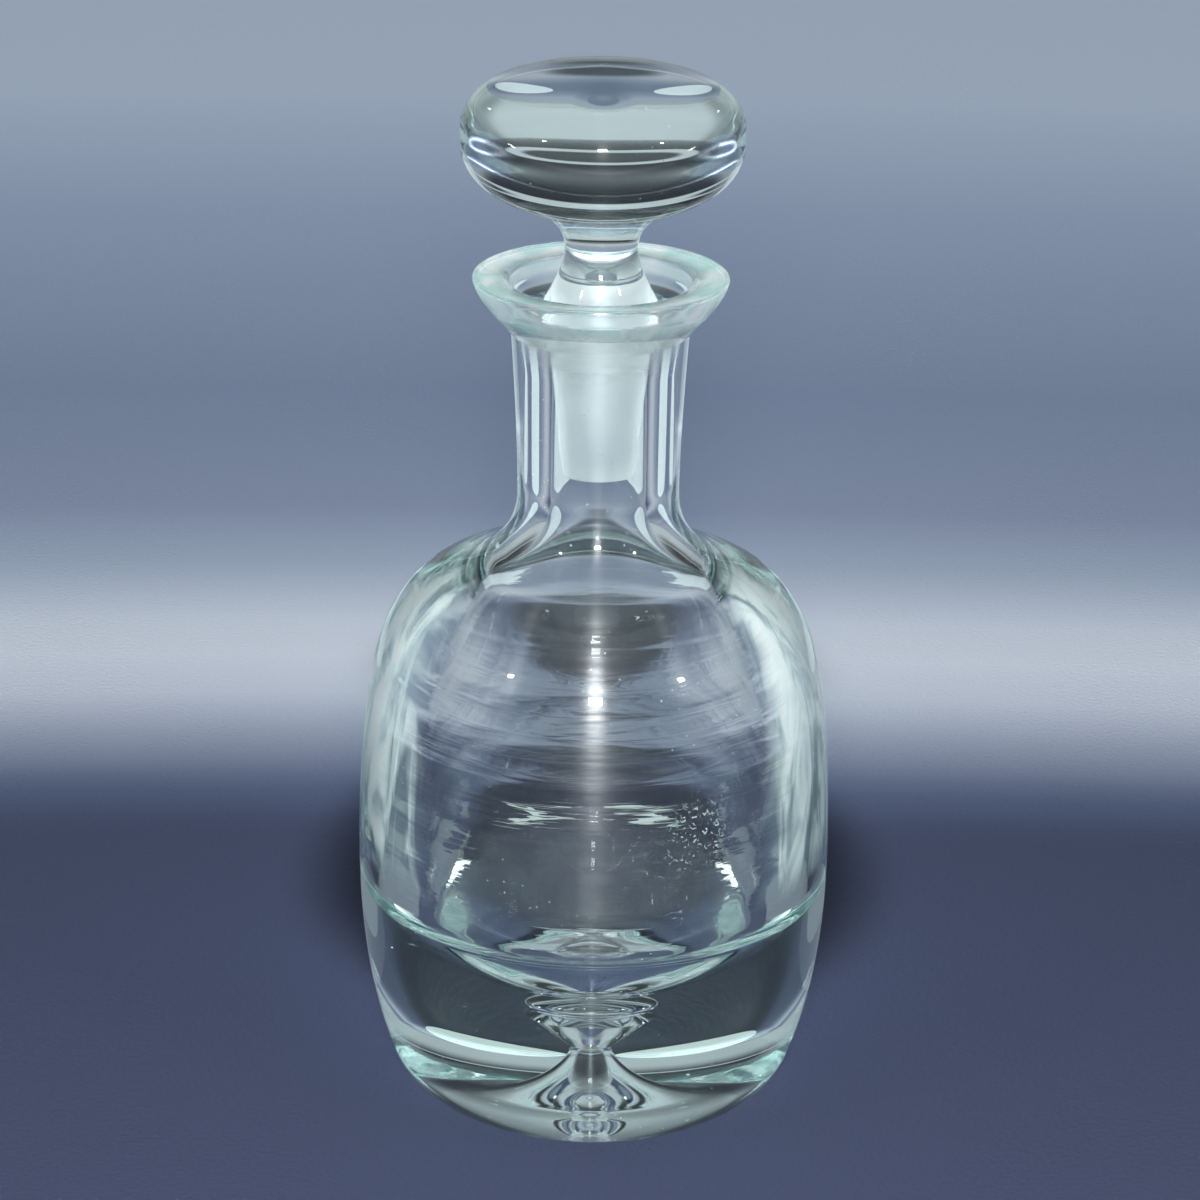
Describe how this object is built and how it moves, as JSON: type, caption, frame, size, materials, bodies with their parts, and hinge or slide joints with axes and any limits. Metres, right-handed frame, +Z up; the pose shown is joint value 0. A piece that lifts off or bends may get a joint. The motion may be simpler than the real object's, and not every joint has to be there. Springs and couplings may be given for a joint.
{
  "type": "decanter",
  "caption": "Heavy clear glass spirit decanter with an oval body, flared lip, bubble base and a ground stopper with a round head.",
  "frame": {"origin": "centre of the foot ring, on the plane the decanter stands on", "axes": "+Z up along the axis of the bottle and the stopper; +X and +Y are free, because both pieces are turned about Z"},
  "size_m": [0.1144, 0.1144, 0.254],
  "materials": {
    "bottle_glass": "clear polished glass with a faint green tint in the thick parts",
    "stopper_glass": "clear polished head and stem, ground white plug"
  },
  "bodies": {
    "bottle": {"bottle": "bottle_glass"},
    "stopper": {"stopper": "stopper_glass"}
  },
  "joints": [
    {"name": "stopper_lift", "type": "slide", "parent": "bottle", "child": "stopper", "axis": [0, 0, 1], "range_m": [0, 0.06]}
  ]
}
